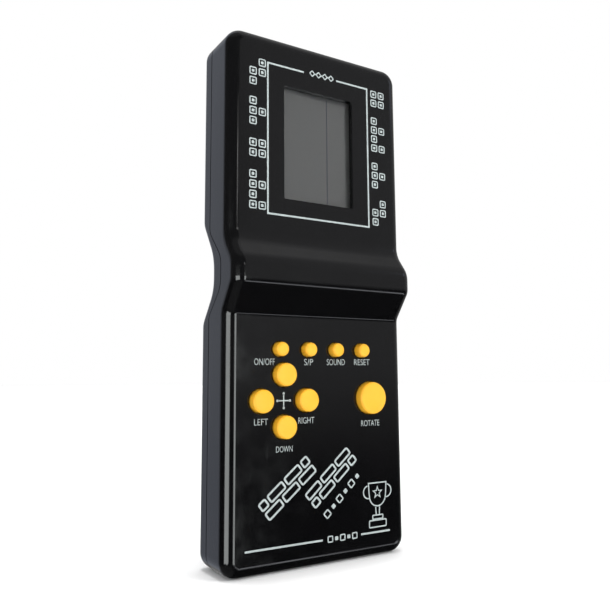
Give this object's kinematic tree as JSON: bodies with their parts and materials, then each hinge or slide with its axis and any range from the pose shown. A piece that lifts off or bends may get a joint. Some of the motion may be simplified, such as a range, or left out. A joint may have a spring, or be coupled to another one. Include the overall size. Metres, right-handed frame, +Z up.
{
  "type": "handheld lcd game",
  "caption": "Upright black hand-held LCD game with a waved waist, a window over the display, round yellow push keys and a hinged battery door on the back.",
  "frame": {"origin": "middle of the case's footprint, on the surface the lower end stands on", "axes": "+Z up along the case, -Y out of the face, +X to the right as seen from the front"},
  "size_m": [0.0746, 0.0282, 0.1864],
  "materials": {
    "case_black": "glossy moulded black plastic",
    "key_yellow": "satin yellow plastic",
    "clear_window": "clear acrylic sheet",
    "polarizer_film": "smoke grey film",
    "display_glass": "clear glass cell",
    "reflector_film": "satin grey foil",
    "zebra_rubber": "striped conductive rubber",
    "white_plastic": "matt white plastic",
    "board_laminate": "lacquered laminate",
    "black_epoxy": "glossy epoxy",
    "capacitor_can": "blue sleeve on aluminium can",
    "ceramic_tan": "dipped ceramic",
    "resistor_body": "lacquered ceramic",
    "silicone_grey": "translucent grey silicone",
    "carbon_black": "carbon filled silicone",
    "brass_plate": "rolled brass",
    "ceramic_white": "silvered ceramic",
    "cell_jacket": "printed metal jacket",
    "spring_steel": "nickel plated spring wire",
    "contact_steel": "nickel plated strip",
    "lead_red": "red insulated wire",
    "lead_black": "black insulated wire",
    "screw_steel": "zinc plated steel"
  },
  "bodies": {
    "case": {"front_shell": "case_black", "rear_shell": "case_black", "display_window": "clear_window", "front_polarizer": "polarizer_film", "lcd_glass": "display_glass", "lcd_reflector": "reflector_film", "zebra_strips": "zebra_rubber", "lcd_holder": "white_plastic", "circuit_board": "board_laminate", "chip_blob": "black_epoxy", "electrolytic_capacitor": "capacitor_can", "ceramic_capacitors": "ceramic_tan", "resistors": "resistor_body", "buzzer_transistor": "black_epoxy", "keypad_mat": "silicone_grey", "carbon_pills": "carbon_black", "piezo_plate": "brass_plate", "piezo_ceramic": "ceramic_white", "battery_lower": "cell_jacket", "battery_upper": "cell_jacket", "battery_springs": "spring_steel", "battery_bridge": "contact_steel", "positive_contact": "contact_steel", "negative_contact": "contact_steel", "battery_lead_red": "lead_red", "battery_lead_black": "lead_black", "buzzer_lead_red": "lead_red", "buzzer_lead_black": "lead_black", "case_screws": "screw_steel", "board_screws": "screw_steel"},
    "key_up_body": {"key_up": "key_yellow"},
    "key_left_body": {"key_left": "key_yellow"},
    "key_right_body": {"key_right": "key_yellow"},
    "key_down_body": {"key_down": "key_yellow"},
    "key_rotate_body": {"key_rotate": "key_yellow"},
    "key_power_body": {"key_power": "key_yellow"},
    "key_start_pause_body": {"key_start_pause": "key_yellow"},
    "key_sound_body": {"key_sound": "key_yellow"},
    "key_reset_body": {"key_reset": "key_yellow"},
    "door": {"battery_door": "case_black"}
  },
  "joints": [
    {"name": "key_up_press", "type": "slide", "parent": "case", "child": "key_up_body", "axis": [0, 1, 0], "range_m": [0, 0.001], "stiffness_N_per_m": 700, "deforming": ["keypad_mat"]},
    {"name": "key_left_press", "type": "slide", "parent": "case", "child": "key_left_body", "axis": [0, 1, 0], "range_m": [0, 0.001], "stiffness_N_per_m": 700, "deforming": ["keypad_mat"]},
    {"name": "key_right_press", "type": "slide", "parent": "case", "child": "key_right_body", "axis": [0, 1, 0], "range_m": [0, 0.001], "stiffness_N_per_m": 700, "deforming": ["keypad_mat"]},
    {"name": "key_down_press", "type": "slide", "parent": "case", "child": "key_down_body", "axis": [0, 1, 0], "range_m": [0, 0.001], "stiffness_N_per_m": 700, "deforming": ["keypad_mat"]},
    {"name": "key_rotate_press", "type": "slide", "parent": "case", "child": "key_rotate_body", "axis": [0, 1, 0], "range_m": [0, 0.001], "stiffness_N_per_m": 700, "deforming": ["keypad_mat"]},
    {"name": "key_power_press", "type": "slide", "parent": "case", "child": "key_power_body", "axis": [0, 1, 0], "range_m": [0, 0.001], "stiffness_N_per_m": 700, "deforming": ["keypad_mat"]},
    {"name": "key_start_pause_press", "type": "slide", "parent": "case", "child": "key_start_pause_body", "axis": [0, 1, 0], "range_m": [0, 0.001], "stiffness_N_per_m": 700, "deforming": ["keypad_mat"]},
    {"name": "key_sound_press", "type": "slide", "parent": "case", "child": "key_sound_body", "axis": [0, 1, 0], "range_m": [0, 0.001], "stiffness_N_per_m": 700, "deforming": ["keypad_mat"]},
    {"name": "key_reset_press", "type": "slide", "parent": "case", "child": "key_reset_body", "axis": [0, 1, 0], "range_m": [0, 0.001], "stiffness_N_per_m": 700, "deforming": ["keypad_mat"]},
    {"name": "battery_door_hinge", "type": "hinge", "parent": "case", "child": "door", "pos_m": [0, 0.01325, 0.0085], "axis": [-1, 0, 0], "range_deg": [0, 75]}
  ]
}
